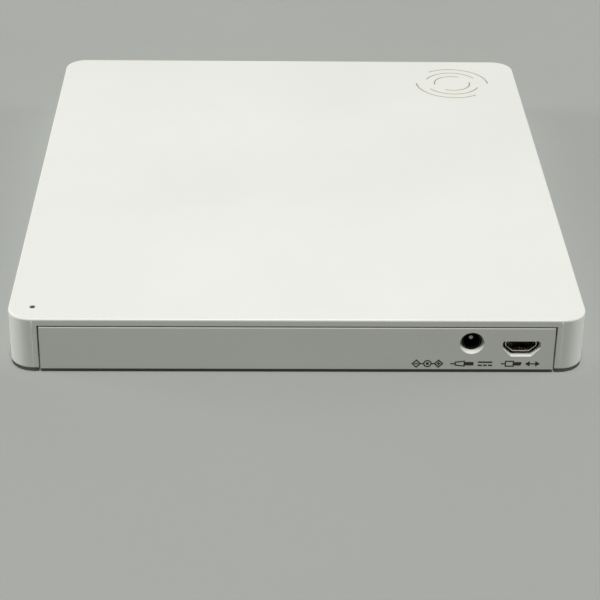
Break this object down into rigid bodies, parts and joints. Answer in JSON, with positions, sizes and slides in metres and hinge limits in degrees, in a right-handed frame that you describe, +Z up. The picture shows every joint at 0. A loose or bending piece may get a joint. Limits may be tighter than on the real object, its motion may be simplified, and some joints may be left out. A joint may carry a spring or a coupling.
{
  "type": "external disc drive",
  "caption": "Slim white external disc drive with a sliding tray, power jack and data socket at the rear, rounded corners and rubber feet.",
  "frame": {"origin": "middle of the plane the feet stand on", "axes": "+X to the right seen from the tray side, +Y towards the rear with the ports, +Z up"},
  "size_m": [0.145, 0.168, 0.0153],
  "materials": {
    "shell_white": "satin, very fine grain",
    "foot_rubber": "matte",
    "screw_steel": "satin",
    "foam": "open foam",
    "clear_plastic": "clear",
    "board_green": "solder mask",
    "black_plastic": "moulded",
    "plated_metal": "plated",
    "sheet_steel": "galvanised",
    "tray_black": "fine texture",
    "ribbon": "film",
    "light_plastic": "moulded",
    "lens_glass": "coated",
    "grip_rubber": "matte"
  },
  "bodies": {
    "housing": {"top_cover": "shell_white", "base_cover": "shell_white", "rubber_feet": "foot_rubber", "case_screws": "screw_steel", "foam_pads": "foam", "light_pipe": "clear_plastic", "status_led": "light_plastic", "port_board": "board_green", "board_chips": "black_plastic", "board_screws": "screw_steel", "dc_jack": "black_plastic", "dc_jack_pin": "plated_metal", "usb_socket": "plated_metal", "usb_tongue": "black_plastic", "bridge_connector": "black_plastic", "drive_chassis": "sheet_steel", "drive_lid": "sheet_steel", "lid_screws": "screw_steel", "rail_guides": "black_plastic", "main_board": "board_green", "main_chips": "black_plastic", "flex_connector": "light_plastic", "drive_connector": "black_plastic", "kick_spring": "sheet_steel", "latch_post": "screw_steel", "tray_flex": "ribbon"},
    "left_rail": {"left_rail": "sheet_steel"},
    "right_rail": {"right_rail": "sheet_steel"},
    "tray": {"disc_tray": "tray_black", "tray_bezel": "shell_white", "activity_lens": "clear_plastic", "switch_board": "board_green", "eject_switch": "black_plastic", "activity_led": "light_plastic", "latch_solenoid": "screw_steel", "traverse_frame": "sheet_steel", "traverse_cover": "sheet_steel", "traverse_screws": "screw_steel", "damper_bushes": "grip_rubber", "guide_shafts": "plated_metal", "sled_motor": "screw_steel", "spindle_motor": "screw_steel"},
    "button": {"eject_button": "shell_white"},
    "latch": {"latch_lever": "light_plastic"},
    "spindle": {"turntable": "black_plastic", "turntable_pad": "grip_rubber"},
    "claw_a": {"hub_claw_a": "light_plastic"},
    "claw_b": {"hub_claw_b": "light_plastic"},
    "claw_c": {"hub_claw_c": "light_plastic"},
    "sled": {"pickup_sled": "black_plastic", "screw_follower": "light_plastic"},
    "lens": {"lens_holder": "black_plastic", "objective_lens": "lens_glass"},
    "screw": {"lead_screw": "plated_metal"}
  },
  "joints": [
    {"name": "tray_slide", "type": "slide", "parent": "housing", "child": "tray", "axis": [0, -1, 0], "range_m": [0, 0.125], "deforming": ["tray_flex", "kick_spring"]},
    {"name": "left_rail_slide", "type": "slide", "parent": "housing", "child": "left_rail", "axis": [0, -1, 0], "range_m": [0, 0.0625]},
    {"name": "right_rail_slide", "type": "slide", "parent": "housing", "child": "right_rail", "axis": [0, -1, 0], "range_m": [0, 0.0625]},
    {"name": "eject_press", "type": "slide", "parent": "tray", "child": "button", "axis": [0, 1, 0], "range_m": [0, 0.0005], "stiffness_N_per_m": 600},
    {"name": "latch_swing", "type": "hinge", "parent": "tray", "child": "latch", "pos_m": [0.047, -0.066, 0.0048], "axis": [0, 0, 1], "range_deg": [-14, 0]},
    {"name": "spindle_spin", "type": "hinge", "parent": "tray", "child": "spindle", "pos_m": [0, -0.0195, 0.0073], "axis": [0, 0, 1], "continuous": true},
    {"name": "claw_a_press", "type": "slide", "parent": "spindle", "child": "claw_a", "axis": [0, -1, 0], "range_m": [0, 0.0004], "stiffness_N_per_m": 200},
    {"name": "claw_b_press", "type": "slide", "parent": "spindle", "child": "claw_b", "axis": [0.866, 0.5, 0], "range_m": [0, 0.0004], "stiffness_N_per_m": 200},
    {"name": "claw_c_press", "type": "slide", "parent": "spindle", "child": "claw_c", "axis": [-0.866, 0.5, 0], "range_m": [0, 0.0004], "stiffness_N_per_m": 200},
    {"name": "sled_slide", "type": "slide", "parent": "tray", "child": "sled", "axis": [-0.7071, -0.7071, 0], "range_m": [0, 0.0325]},
    {"name": "lens_focus", "type": "slide", "parent": "sled", "child": "lens", "axis": [0, 0, 1], "range_m": [-0.0004, 0.0004], "stiffness_N_per_m": 60},
    {"name": "screw_spin", "type": "hinge", "parent": "tray", "child": "screw", "pos_m": [-0.01344, -0.05839, 0.00525], "axis": [-0.7071, -0.7071, 0], "range_deg": [-5, 3905]}
  ],
  "couplings": [
    {"joint": "left_rail_slide", "follows": "tray_slide", "ratio": 0.5},
    {"joint": "right_rail_slide", "follows": "tray_slide", "ratio": 0.5},
    {"joint": "screw_spin", "follows": "sled_slide", "rad_per_m": 2094.4}
  ]
}
